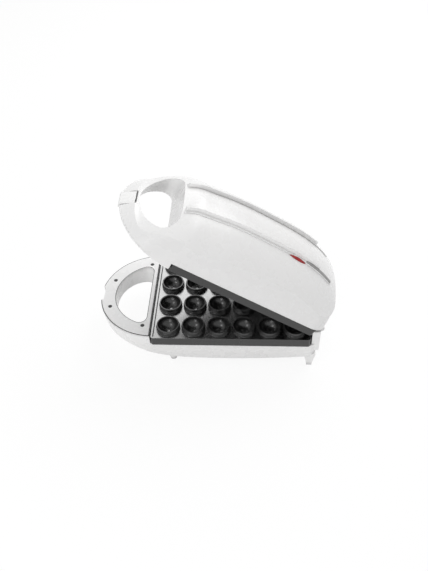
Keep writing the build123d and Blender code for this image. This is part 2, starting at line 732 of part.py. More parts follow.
def lid_lugs():
    """Two round lugs that hang from the lid's rear floor into the hinge block."""
    lugs = Part()
    half = LUG_WIDTH / 2
    for side in (-1, 1):
        y = side * LUG_Y
        lugs += rod(HINGE_X, y - half, y + half, HINGE_Z, KNUCKLE_R)
        lugs += block(HINGE_X - KNUCKLE_R, HINGE_X + KNUCKLE_R, y - half, y + half,
                      HINGE_Z, DOME_SKIRT + WALL)
    for side in (-1, 1):
        y = side * LUG_Y
        lugs -= rod(HINGE_X, y - half, y + half, HINGE_Z, PIN_R + PIN_SLIP + BUSH_WALL)
    return lugs


def lid_shell():
    """The upper moulded shell with its crowned top and handle loop, closed."""
    form = lid_form(0)
    shell = form - (lid_form(WALL) - lid_hole(WALL))
    cover_z = HANDLE_Z + COVER_THICK
    w = LID_LOW_HALF_WIDTH
    front = HANDLE_TIP - BEYOND
    cross = block(BODY_FRONT - WALL, BODY_FRONT, -w, w, 0, LID_TOP_Z)
    rear_floor = block(PLATE_REAR + REAR_FLOOR_GAP, LID_REAR, -w, w, DOME_SKIRT,
                       DOME_SKIRT + WALL)
    posts = Part()
    for x, y in HANDLE_SCREWS:
        posts += post(x, y, cover_z, LID_TOP_Z, HANDLE_POST_R)
    for x, y in corners(POST_X, LID_POST_Y):
        posts += post(x, y, LID_TRAY_Z, LID_TOP_Z, POST_R)
    bridge = latch_box(WALL + LATCH_SIDE_GAP, LATCH_FRONT_ROOM_X - BEYOND, LATCH_BRIDGE_REAR,
                       cover_z, LID_TOP_Z)
    shell += (cross + rear_floor + posts + bridge) & form
    shell -= lid_hole(0)
    shell -= block(BODY_FRONT, LID_REAR + BEYOND, -w, w, 0, DOME_SKIRT)
    shell -= block(front, BODY_FRONT, -w, w, 0, cover_z)
    shell -= latch_room()
    shell += lid_lugs()
    shell -= lens_stem(LENS_SIDE_GAP)
    shell -= post(LID_LEAD_HOLE_X, LID_LEAD_HOLE_Y, DOME_SKIRT - BEYOND,
                  DOME_SKIRT + WALL + BEYOND, LEAD_HOLE_R)
    for x, y in HANDLE_SCREWS:
        shell -= post(x, y, cover_z, cover_z + LID_HANDLE_SCREW_LENGTH + SCREW_TIP_ROOM,
                      SCREW_BORE_R)
    for x, y in corners(POST_X, LID_POST_Y):
        shell -= post(x, y, LID_TRAY_Z, LID_TRAY_Z + LID_SCREW_REACH + SCREW_TIP_ROOM,
                      SCREW_BORE_R)
    return shell


def latch_room():
    """The room for the latch at the tip of the lid's handle."""
    tip = HANDLE_TIP - BEYOND
    front = latch_box(LATCH_SIDE_GAP, tip, LATCH_FRONT_ROOM_X, 0, LID_TOP_Z)
    upper = latch_box(LATCH_SIDE_GAP, tip, LATCH_ROOM_X, 0, LID_TOP_Z)
    half = LATCH_WIDTH / 2 + LATCH_SIDE_GAP + WALL
    pin = rod(LATCH_PIVOT_X, -half, half, LATCH_PIVOT_Z, LATCH_PIN_R)
    return front + upper + pin


def latch():
    """The latch: a skin over the handle tip, a leg with a tooth, and a barrel on its pin."""
    skin = lid_form(0) - lid_form(WALL)
    skin = skin & latch_box(0, HANDLE_TIP - BEYOND, LATCH_INNER_X, HANDLE_Z + LIFT, LID_TOP_Z)
    tooth_top = HANDLE_Z - COVER_THICK - CATCH_LIP_THICK - LATCH_HOOK_GAP
    tooth_end = CATCH_EDGE_X + LATCH_HOOK_OVERLAP
    leg_rear = tooth_end - LATCH_TOOTH_REACH
    bottom = tooth_top - LATCH_TOOTH_THICK
    leg = latch_box(0, leg_rear - LATCH_LEG_THICK, leg_rear, bottom, LATCH_LEG_TOP)
    tooth = latch_box(0, leg_rear, tooth_end, bottom, tooth_top)
    half = LATCH_BARREL_HALF
    barrel = rod(LATCH_PIVOT_X, -half, half, LATCH_PIVOT_Z, LATCH_BARREL_R)
    bore_r = LATCH_PIN_R + LATCH_PIN_SLIP
    bore = rod(LATCH_PIVOT_X, -half, half, LATCH_PIVOT_Z, bore_r)
    shape = skin + leg + tooth + barrel - bore
    pivot = Axis((LATCH_PIVOT_X, 0, LATCH_PIVOT_Z), (0, 1, 0))
    return shape.rotate(pivot, LATCH_SWUNG)


def latch_pin():
    """The steel pin that the latch turns on."""
    half = LATCH_WIDTH / 2 + LATCH_SIDE_GAP + WALL
    return rod(LATCH_PIVOT_X, -half, half, LATCH_PIVOT_Z, LATCH_PIN_R)


def latch_spring():
    """A coil spring round the latch pin, beside the barrel."""
    y = LATCH_BARREL_HALF + SPRING_WIRE_R + LATCH_SIDE_GAP
    turns = Helix(SPRING_PITCH, SPRING_PITCH * SPRING_TURNS, SPRING_R)
    start = Plane(turns @ 0, z_dir=turns % 0) * Circle(SPRING_WIRE_R)
    coil = sweep(start.face(), path=turns)
    return Pos(LATCH_PIVOT_X, y, LATCH_PIVOT_Z) * Rot(-90, 0, 0) * coil


def lid_handle_cover():
    """The flat ring that closes the underside of the lid's handle loop."""
    half_width = LID_LOW_HALF_WIDTH - 2 * COVER_INSET
    z0 = HANDLE_Z + LIFT
    z1 = HANDLE_Z + COVER_THICK
    face = outline(half_width, LOOP_CENTRE_X, SHELL_HALF_WIDTH - 2 * COVER_INSET, LID_REAR,
                   LID_REAR_CORNER, z0)
    ring = extrude(face, z1 - z0, dir=(0, 0, 1))
    front = HANDLE_TIP - BEYOND
    ring = ring & block(front, BODY_FRONT - COVER_GAP, -half_width, half_width, z0, z1)
    ring -= lid_hole(COVER_INSET)
    ring -= latch_box(LATCH_SIDE_GAP, front, LATCH_FRONT_ROOM_X, z0, z1)
    recess = z0 + SCREW_HEAD_THICK / 2
    for x, y in HANDLE_SCREWS:
        ring -= post(x, y, z0, z1, SCREW_BORE_R)
        ring -= post(x, y, z0, recess, SCREW_HEAD_R + SCREW_HEAD_GAP)
    return ring


def lid_handle_screws():
    """Four screws that hold the lid's handle cover."""
    tip = HANDLE_Z + COVER_THICK + LID_HANDLE_SCREW_LENGTH
    head = HANDLE_Z + LIFT + SCREW_SINK
    return [screw(x, y, head, tip, SCREW_HEAD_R, SCREW_R, SCREW_HEAD_THICK / 2 - SCREW_SINK)
            for x, y in HANDLE_SCREWS]


def lid_plate_screws():
    """Four screws from the face of the dome plate up into the lid's posts."""
    head = DOME_FLOOR_Z + SCREW_SINK
    return [screw(x, y, head, LID_TRAY_Z + LID_SCREW_REACH, SCREW_HEAD_R, SCREW_R,
                  SCREW_HEAD_THICK - SCREW_SINK) for x, y in corners(POST_X, LID_POST_Y)]


def lens_space(gap, y_gap):
    """The plan of the lamp lens, grown by a gap, as a tall block."""
    return block(LENS_FRONT - gap, LENS_REAR + gap, -FLANGE_OUTER_Y - y_gap,
                 -RAIL_OUTER_Y - LENS_SIDE_GAP + y_gap, 0, LID_TOP_Z)


def lens_stem(gap):
    """The plan of the lens's stem, which goes down through the shell."""
    middle = -(FLANGE_OUTER_Y + RAIL_OUTER_Y) / 2
    half = LENS_STEM_WIDTH / 2 + gap
    x0 = LENS_FRONT + LENS_STEM_INSET - gap
    x1 = LENS_REAR - LENS_STEM_INSET + gap
    return block(x0, x1, middle - half, middle + half, 0, LID_TOP_Z)


def rail(side):
    """A raised rail along the lid's crown, with a low flange along its outer side."""
    mid = side * (RAIL_INNER_Y + RAIL_OUTER_Y) / 2
    width = RAIL_OUTER_Y - RAIL_INNER_Y
    plan = Pos((RAIL_FRONT + RAIL_REAR) / 2, mid)
    plan = plan * RectangleRounded(RAIL_REAR - RAIL_FRONT, width, width * RAIL_NOSE_SHARE)
    tall = extrude(plan.face(), LID_TOP_Z, dir=(0, 0, 1))
    y0, y1 = sorted((side * RAIL_OUTER_Y, side * FLANGE_OUTER_Y))
    low = block(RAIL_FRONT, FLANGE_REAR, y0, y1, 0, LID_TOP_Z)
    rear_y0, rear_y1 = sorted((side * (RAIL_INNER_Y + RAIL_TAIL_STEP),
                                side * FLANGE_OUTER_Y))
    low += block(RAIL_REAR - width, FLANGE_REAR, rear_y0, rear_y1, 0, LID_TOP_Z)
    shape = (tall & crown(RAIL_HEIGHT)) + (low & crown(FLANGE_HEIGHT))
    if side < 0:
        shape -= lens_space(LENS_SIDE_GAP, LENS_SIDE_GAP)
    return shape - crown(0)


def red_lens():
    """The red lamp lens on the outer side of the front rail."""
    head = (lens_space(0, 0) & crown(LENS_HEIGHT)) - crown(0)
    stem = (lens_stem(0) & crown(0)) - crown(-WALL - LENS_STEM_REACH)
    return head + stem


def lamp_holder():
    """The holder under the lens, moulded to fit the inside of the crown."""
    middle = -(FLANGE_OUTER_Y + RAIL_OUTER_Y) / 2
    x = (LENS_FRONT + LENS_REAR) / 2
    half = LAMP_LENGTH / 2 + HOLDER_END
    side = LAMP_R + HOLDER_SIDE
    holder = block(x - half, x + half, middle - side, middle + side, LAMP_Z - HOLDER_BELOW,
                   LID_TOP_Z)
    holder = holder & crown(-WALL)
    inner = half - HOLDER_WALL
    mouth = HOLDER_MOUTH / 2
    holder -= block(x - inner, x + half, middle - mouth, middle + mouth, LAMP_Z - LEAD_R,
                    LID_TOP_Z)
    holder -= Pos(x, middle, LAMP_Z) * Rot(0, 90, 0) * Cylinder(LAMP_R, LAMP_LENGTH)
    return holder


def neon_lamp():
    """The small lamp in its holder."""
    middle = -(FLANGE_OUTER_Y + RAIL_OUTER_Y) / 2
    x = (LENS_FRONT + LENS_REAR) / 2
    return Pos(x, middle, LAMP_Z) * Rot(0, 90, 0) * Cylinder(LAMP_R, LAMP_LENGTH)


def hinge_pins():
    """Two hollow steel pins, each through two knuckles and one lug."""
    pins = []
    half = LUG_WIDTH / 2 + LUG_GAP + KNUCKLE_WIDTH
    for side in (-1, 1):
        y = side * LUG_Y
        pin = rod(HINGE_X, y - half, y + half, HINGE_Z, PIN_R)
        pins.append(pin - rod(HINGE_X, y - half, y + half, HINGE_Z, PIN_BORE_R))
    return pins


def hinge_bushes():
    """A bush in each lid lug."""
    bushes = []
    half = LUG_WIDTH / 2
    inner = PIN_R + PIN_SLIP
    for side in (-1, 1):
        y = side * LUG_Y
        bush = rod(HINGE_X, y - half, y + half, HINGE_Z, inner + BUSH_WALL)
        bushes.append(bush - rod(HINGE_X, y - half, y + half, HINGE_Z, inner))
    return bushes


def thermostat():
    """A round snap disc thermostat against the back of the cup plate."""
    can = post(0, 0, -PLATE_THICK - THERMOSTAT_HEIGHT, -PLATE_THICK, THERMOSTAT_R)
    tab_z = -PLATE_THICK - THERMOSTAT_HEIGHT
    for side in (-1, 1):
        x = side * TAB_X
        can += block(x - TAB_THICK / 2, x + TAB_THICK / 2, -TAB_WIDTH / 2, TAB_WIDTH / 2,
                     tab_z - TAB_LENGTH, tab_z)
    return can


def thermal_fuse():
    """A thermal cut-out clipped under the cup plate."""
    z = -PLATE_THICK - FUSE_R
    return Pos(COLUMN_PITCH, 0, z) * Rot(0, 90, 0) * Cylinder(FUSE_R, FUSE_LENGTH)


def terminal_block():
    """The block that joins the mains lead to the inner leads."""
    length, width, height = TERMINAL_BOX
    body = block(TERMINAL_X - length / 2, TERMINAL_X + length / 2, TERMINAL_Y - width / 2,
                 TERMINAL_Y + width / 2, TERMINAL_SEAT_Z, TERMINAL_SEAT_Z + height)
    for y in terminal_ways():
        body -= post(TERMINAL_X, y, TERMINAL_SEAT_Z + height / 2, TERMINAL_SEAT_Z + height,
                     TERMINAL_WELL_R)
    return body


def lead(*points):
    """An insulated lead along straight runs with round bends."""
    path = FilletPolyline(*points, radius=LEAD_BEND_R)
    start = Plane(path @ 0, z_dir=path % 0) * Circle(LEAD_R)
    return sweep(start.face(), path=path)


def terminal_ways():
    """The Y of each way through the terminal block."""
    step = TERMINAL_BOX[1] / 3
    return [TERMINAL_Y + way * step for way in (-1, 0, 1)]


def base_leads():
    """The leads inside the base, from the cord gland to the lower element."""
    x0 = TERMINAL_X + TERMINAL_BOX[0] / 2
    z = TERMINAL_SEAT_Z + TERMINAL_BOX[2] / 2
    pin_x = TUBE_REAR + TERMINAL_LENGTH
    pin_z = -PLATE_THICK - TUBE_R
    x1 = pin_x + LEAD_TURN
    far, middle, near = terminal_ways()
    gland_end = BASE_REAR - GLAND_REACH - LEAD_STOP
    leads = [lead((x0, near, z), (x0 + LEAD_TURN, near, z),
                  (gland_end - LEAD_TURN, GLAND_Y, GLAND_Z), (gland_end, GLAND_Y, GLAND_Z))]
    for y0, y1, run_z in ((far, -TUBE_Y, LEAD_RUN_Z), (middle, TUBE_Y, LEAD_RUN_Z - LEAD_STEP)):
        leads.append(lead((x0, y0, z), (x1, y0, z), (x1, y0, run_z), (x1, y1, run_z),
                          (x1, y1, pin_z), (pin_x, y1, pin_z)))
    return leads


def crossing_lead():
    """The lead that leaves the hinge block and enters a hollow hinge pin."""
    inner = LUG_Y - LUG_WIDTH / 2 - LUG_GAP - KNUCKLE_WIDTH
    x = (BLOCK_FRONT + BASE_REAR) / 2
    return lead((x, LEAD_HOLE_Y, LEAD_RUN_Z), (x, LEAD_HOLE_Y, HINGE_Z),
                (HINGE_X, LEAD_HOLE_Y, HINGE_Z), (HINGE_X, inner + PIN_LEAD_DEPTH, HINGE_Z))


def lid_leads():
    """The leads inside the lid, one of them from the hollow hinge pin."""
    pin_x = TUBE_REAR + TERMINAL_LENGTH
    pin_z = DOME_SKIRT + TUBE_R
    turn_x = pin_x + LEAD_TURN
    outer = LUG_Y + LUG_WIDTH / 2 + LUG_GAP + KNUCKLE_WIDTH
    first = lead((HINGE_X, outer - PIN_LEAD_DEPTH, HINGE_Z), (HINGE_X, LID_LEAD_HOLE_Y, HINGE_Z),
                 (LID_LEAD_HOLE_X, LID_LEAD_HOLE_Y, HINGE_Z),
                 (LID_LEAD_HOLE_X, LID_LEAD_HOLE_Y, LID_LEAD_RUN_Z),
                 (turn_x, TUBE_Y, LID_LEAD_RUN_Z), (turn_x, TUBE_Y, pin_z),
                 (pin_x, TUBE_Y, pin_z))
    lamp_y = -(FLANGE_OUTER_Y + RAIL_OUTER_Y) / 2
    lamp_x = (LENS_FRONT + LENS_REAR + LAMP_LENGTH) / 2
    second = lead((pin_x, -TUBE_Y, pin_z), (turn_x, -TUBE_Y, pin_z),
                  (turn_x, -TUBE_Y, LID_LEAD_RUN_Z + LEAD_RISE),
                  (lamp_x + 2 * LEAD_TURN, lamp_y, LAMP_Z), (lamp_x, lamp_y, LAMP_Z))
    return [first, second]


def finish(name, shape, is_lid):
    """Turn a lid part open, then write the part to its own file."""
    pieces = shape if isinstance(shape, list) else [shape]
    solids = [solid for piece in pieces for solid in piece.solids()]
    whole = solids[0] if len(solids) == 1 else Compound(children=solids)
    if is_lid:
        whole = opened(whole)
    whole.label = name
    export_step(whole, f"parts/{name}.step")


BASE_PARTS = {
    "base_shell": base_shell(),
    "base_handle_cover": base_handle_cover(),
    "base_handle_screws": base_handle_screws(),
    "base_plate_screws": base_plate_screws(),
    "cup_plate": cup_plate(),
    "lower_element": element(-PLATE_THICK - TUBE_R),
    "lower_element_clamps": clamps(-PLATE_THICK - 2 * TUBE_R, -1),
    "lower_clamp_screws": clamp_screws(-PLATE_THICK - 2 * TUBE_R, -1),
    "lower_reflector": tray(BASE_TRAY_Z, -1, POST_Y, BASE_TRAY_EAR_Y),
    "thermostat": thermostat(),
    "thermal_fuse": thermal_fuse(),
    "terminal_block": terminal_block(),
    "cord_gland": cord_gland(),
    "base_leads": base_leads(),
    "crossing_lead": crossing_lead(),
    "front_feet": front_feet(),
    "rear_feet": rear_feet(),
    "hinge_pins": hinge_pins(),
}

LID_PARTS = {
    "lid_shell": lid_shell(),
    "lid_handle_cover": lid_handle_cover(),
    "lid_handle_screws": lid_handle_screws(),
    "lid_plate_screws": lid_plate_screws(),
    "dome_plate": dome_plate(),
    "upper_element": element(DOME_SKIRT + TUBE_R),
    "upper_element_clamps": clamps(DOME_SKIRT + 2 * TUBE_R, 1),
    "upper_clamp_screws": clamp_screws(DOME_SKIRT + 2 * TUBE_R, 1),
    "upper_reflector": tray(LID_TRAY_Z, 1, LID_POST_Y, TRAY_HALF_WIDTH),
    "front_rail": rail(-1),
    "rear_rail": rail(1),
    "red_lens": red_lens(),
    "lamp_holder": lamp_holder(),
    "neon_lamp": neon_lamp(),
    "lid_leads": lid_leads(),
    "hinge_bushes": hinge_bushes(),
    "latch": latch(),
    "latch_pin": latch_pin(),
    "latch_spring": latch_spring(),
}

for part_name, part_shape in BASE_PARTS.items():
    finish(part_name, part_shape, False)
for part_name, part_shape in LID_PARTS.items():
    finish(part_name, part_shape, True)
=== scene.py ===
import json
import math

import bpy
from mathutils import Matrix, Vector

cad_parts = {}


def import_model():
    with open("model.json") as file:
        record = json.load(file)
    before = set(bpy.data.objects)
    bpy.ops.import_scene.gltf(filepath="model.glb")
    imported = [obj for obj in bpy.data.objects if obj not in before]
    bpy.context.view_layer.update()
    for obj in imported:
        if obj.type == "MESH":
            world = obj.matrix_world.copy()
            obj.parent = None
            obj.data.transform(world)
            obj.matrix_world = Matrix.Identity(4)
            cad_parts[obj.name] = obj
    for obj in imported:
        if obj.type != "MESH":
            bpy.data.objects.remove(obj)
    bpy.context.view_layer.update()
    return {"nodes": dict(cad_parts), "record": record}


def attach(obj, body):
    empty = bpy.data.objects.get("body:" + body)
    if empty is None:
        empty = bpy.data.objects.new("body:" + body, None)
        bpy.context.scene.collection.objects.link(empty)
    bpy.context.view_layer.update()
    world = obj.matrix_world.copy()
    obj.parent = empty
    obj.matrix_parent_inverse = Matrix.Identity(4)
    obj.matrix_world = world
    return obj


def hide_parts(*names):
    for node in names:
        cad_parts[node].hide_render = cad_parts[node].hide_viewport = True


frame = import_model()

MM = 0.001
MICRON = 0.001 * MM

# The camera: its place, how far it looks left of +Y and down, its roll, and its lens
CAMERA_PLACE = Vector((14.1, -656.6, 673.2)) * MM
CAMERA_YAW = math.radians(3.677)
CAMERA_DOWN = math.radians(44.684)
CAMERA_ROLL = math.radians(-2.037)
CAMERA_LENS = 37.475
SENSOR = 36.0
NEAREST = 0.01
FARTHEST = 50.0

# The studio: the world's light, and the floor with the share of it that glows to the camera
WORLD_LEVEL = 0.42
FLOOR_Z = -66.0 * MM
FLOOR_HALF = 6.0
FLOOR_WHITE = 0.92
FLOOR_GLOW = 1.03
FLOOR_GLOW_SHARE = 0.86

# Where noise values mostly lie, for a mapped value and for a tint
NOISE_LOW = 0.3
NOISE_HIGH = 0.7
TINT_LOW = 0.35
TINT_HIGH = 0.65

# The shares of open sky at which a corner counts as closed and as open, for the painted shade in corners
CORNER_CLOSED = 0.25
CORNER_OPEN = 0.8
CORNER_SAMPLES = 16
EDGE_SAMPLES = 12

# The painted sheen on the plate's top: its level, and how level and how low a face is there
PAINTED_SHEEN_LEVEL = 0.28
PAINTED_SHEEN_LEAST = 0.985
PAINTED_SHEEN_TOP_Z = 1.0 * MM

# The grid of cups, as in the frame: the origin is its middle, on the plate's face
COLUMNS = 6
ROWS = 4
COLUMN_PITCH = 38.0 * MM
ROW_PITCH = 45.3 * MM
CUP_MOUTH_R = 15.3 * MM
CUP_BEND_Z = 2.0 * MM
CUP_FLOOR_Z = -8.0 * MM

# How far a thin skin lies over the surface that carries it
SKIN = 0.03 * MM

# The wrinkles on each cup's floor, and how far they bend in how many waves round it
RIB_COUNT = 11
RIB_HEIGHT = 0.5 * MM
RIB_INNER_R = 1.5 * MM
RIB_OUTER_R = 7.5 * MM
RIB_RINGS = 10
RIB_STEPS = 104
RIB_BEND = 1.2
RIB_WAVES = 3

# The bead round the outside of each cup
BEAD_R = 17.55 * MM
BEAD_Z = 3.0 * MM
BEAD_THICK = 0.55 * MM
BEAD_TURNS = 8
BEAD_STEPS = 56

# The base's handle: its round end, its hole and its cover's top, and the plate beside it
LOOP_X = -118.0 * MM
LOOP_R = 89.5 * MM
HOLE_R = 66.0 * MM
HOLE_X = -129.5 * MM
HOLE_CORNER = 11.0 * MM
COVER_TOP = 3.5 * MM
COVER_END = -121.8 * MM
PLATE_HALF_WIDTH = 89.5 * MM

# The painted shade line round the handle's cover, standing in for the shade in its seam, which leaves the
# latch's place free, with its turns in degrees
RIM_INSET = 1.2 * MM
RIM_START = 92.0
RIM_LATCH = 170.0
RIM_STEPS = 40
RIM_FAR_WIDTH = 0.9 * MM
RIM_NEAR_WIDTH = 1.1 * MM
RIM_NEAR_GROWTH = 0.7 * MM

# The painted shade line round the handle's hole, in its seam, with the steps of a corner and of its round
# side
HOLE_SEAM_GROW = 0.6 * MM
HOLE_SEAM_WIDTH = 0.8 * MM
CORNER_STEPS = 10
HOLE_STEPS = 40

# The painted shade lines in the gap at the plate's end and in the groove beside it; the gap's line is partly
# the plate's own black edge, partly painted shade
END_GAP_X = COVER_END - 0.2 * MM
END_GAP_WIDTH = 2.2 * MM
END_GAP_INSET = 1.0 * MM
GROOVE_X = COVER_END + 4.9 * MM
GROOVE_WIDTH = 1.1 * MM
GROOVE_INSET = 4.0 * MM

# The lid's place: its hinge line, its opening, and its crown as pairs of X and centre height
HINGE_X = 132.0 * MM
HINGE_Z = 6.0 * MM
LID_OPEN = math.radians(33.0)
CROWN_STATIONS = ((0.0, 76.5 * MM), (50.0 * MM, 75.5 * MM), (95.0 * MM, 67.0 * MM),
                  (120.0 * MM, 56.5 * MM))
CROWN_R = 122.0 * MM
FLANGE_TOP = 1.4 * MM

# The lamp's window, a pointed oval: its ends, its middle line, its size and how deep it sits
LENS_X0 = 28.5 * MM
LENS_X1 = 58.0 * MM
LENS_Y = -33.3 * MM
LENS_WIDE = 4.6 * MM
LENS_HIGH = 2.4 * MM
LENS_SUNK = 1.6 * MM
LENS_SKEW = 1.15
LENS_BLUNT = 0.7
LENS_COLUMNS = 31
LENS_ROWS = 9

# The slot in the flange that the window leaves open
SLOT_X0 = 34.8 * MM
SLOT_X1 = 64.2 * MM
SLOT_Y0 = -32.5 * MM
SLOT_Y1 = -28.9 * MM
SLOT_DEPTH = 1.0 * MM

# The grey strip of painted shade behind the lamp, where the rail's side is in shade: it rises fast at its
# nose and a little along its length
SHADE_STRIP_X0 = 58.0 * MM
SHADE_STRIP_X1 = 111.5 * MM
SHADE_STRIP_Y0 = -32.4 * MM
SHADE_STRIP_Y1 = -29.1 * MM
SHADE_STRIP_HIGH = 1.5 * MM
SHADE_STRIP_SUNK = 0.4 * MM
SHADE_STRIP_RISE = 0.5 * MM
SHADE_STRIP_NOSE = 8
SHADE_STRIP_COLUMNS = 20


def camera():
    """The camera at the photograph's viewing angle."""
    ahead = Vector((-math.sin(CAMERA_YAW) * math.cos(CAMERA_DOWN),
                    math.cos(CAMERA_YAW) * math.cos(CAMERA_DOWN),
                    -math.sin(CAMERA_DOWN)))
    level = Vector((math.cos(CAMERA_YAW), math.sin(CAMERA_YAW), 0))
    upright = level.cross(ahead)
    right = math.cos(CAMERA_ROLL) * level + math.sin(CAMERA_ROLL) * upright
    up = math.cos(CAMERA_ROLL) * upright - math.sin(CAMERA_ROLL) * level
    data = bpy.data.cameras.new("camera")
    data.lens = CAMERA_LENS
    data.sensor_width = SENSOR
    data.sensor_fit = "AUTO"
    data.clip_start = NEAREST
    data.clip_end = FARTHEST
    data.dof.use_dof = False
    made = bpy.data.objects.new("camera", data)
    bpy.context.scene.collection.objects.link(made)
    turn = Matrix((right, up, -ahead)).transposed()
    made.matrix_world = Matrix.Translation(CAMERA_PLACE) @ turn.to_4x4()
    bpy.context.scene.camera = made


def area_light(name, place, target, width, height, power):
    """A soft box that points from its place to a target."""
    data = bpy.data.lights.new(name, "AREA")
    data.shape = "RECTANGLE"
    data.size = width
    data.size_y = height
    data.energy = power
    made = bpy.data.objects.new(name, data)
    bpy.context.scene.collection.objects.link(made)
    made.location = place
    direction = Vector(target) - Vector(place)
    made.rotation_mode = "QUATERNION"
    made.rotation_quaternion = direction.to_track_quat("-Z", "Y")


def lamps():
    """The soft boxes: behind, high on the right, high on the left, and low in front."""
    middle = (-0.05, 0, 0)
    area_light("back_box", (0.1, 1.5, 1.35), middle, width=1.5, height=1.0, power=9)
    area_light("top_box", (0.85, 0.85, 1.65), middle, width=1.2, height=1.2, power=15.5)
    area_light("left_box", (-0.8, -0.7, 1.15), middle, width=0.3, height=0.3, power=2.3)
    area_light("front_box", (-0.5, -1.35, 0.32), (0, 0, 0.03), width=0.4, height=0.4, power=4.6)


def background_share(tree, most):
    """The given share for rays that see the background straight, in gloss or through glass."""
    path = tree.nodes.new("ShaderNodeLightPath")
    total = path.outputs["Is Camera Ray"]
    for kind in ("Is Glossy Ray", "Is Transmission Ray"):
        both = tree.nodes.new("ShaderNodeMath")
        both.operation = "MAXIMUM"
        tree.links.new(total, both.inputs[0])
        tree.links.new(path.outputs[kind], both.inputs[1])
        total = both.outputs["Value"]
    share = tree.nodes.new("ShaderNodeMath")
    share.operation = "MULTIPLY"
    share.inputs[1].default_value = most
    tree.links.new(total, share.inputs[0])
    return share.outputs["Value"]


def world():
    """A plain pale world, white where it is seen."""
    made = bpy.data.worlds.new("studio")
    bpy.context.scene.world = made
    made.use_nodes = True
    tree = made.node_tree
    tree.nodes.clear()
    out = tree.nodes.new("ShaderNodeOutputWorld")
    light = tree.nodes.new("ShaderNodeBackground")
    light.inputs["Color"].default_value = (1, 1, 1, 1)
    light.inputs["Strength"].default_value = WORLD_LEVEL
    seen = tree.nodes.new("ShaderNodeBackground")
    seen.inputs["Color"].default_value = (1, 1, 1, 1)
    seen.inputs["Strength"].default_value = 1.0
    mix = tree.nodes.new("ShaderNodeMixShader")
    tree.links.new(background_share(tree, 1.0), mix.inputs["Fac"])
    tree.links.new(light.outputs["Background"], mix.inputs[1])
    tree.links.new(seen.outputs["Background"], mix.inputs[2])
    tree.links.new(mix.outputs["Shader"], out.inputs["Surface"])


def floor():
    """A wide white floor that glows where it is seen and keeps a faint shadow."""
    half = FLOOR_HALF
    mesh = bpy.data.meshes.new("floor")
    mesh.from_pydata([(-half, -half, FLOOR_Z), (half, -half, FLOOR_Z), (half, half, FLOOR_Z),
                      (-half, half, FLOOR_Z)], [], [(0, 1, 2, 3)])
    made = bpy.data.objects.new("floor", mesh)
    bpy.context.scene.collection.objects.link(made)
    material = bpy.data.materials.new("floor_white")
    material.use_nodes = True
    tree = material.node_tree
    tree.nodes.clear()
    out = tree.nodes.new("ShaderNodeOutputMaterial")
    diffuse = tree.nodes.new("ShaderNodeBsdfDiffuse")
    diffuse.inputs["Color"].default_value = (*grey(FLOOR_WHITE), 1)
    glow = tree.nodes.new("ShaderNodeEmission")
    glow.inputs["Color"].default_value = (1, 1, 1, 1)
    glow.inputs["Strength"].default_value = FLOOR_GLOW
    mix = tree.nodes.new("ShaderNodeMixShader")
    tree.links.new(background_share(tree, FLOOR_GLOW_SHARE), mix.inputs["Fac"])
    tree.links.new(diffuse.outputs["BSDF"], mix.inputs[1])
    tree.links.new(glow.outputs["Emission"], mix.inputs[2])
    tree.links.new(mix.outputs["Shader"], out.inputs["Surface"])
    mesh.materials.append(material)


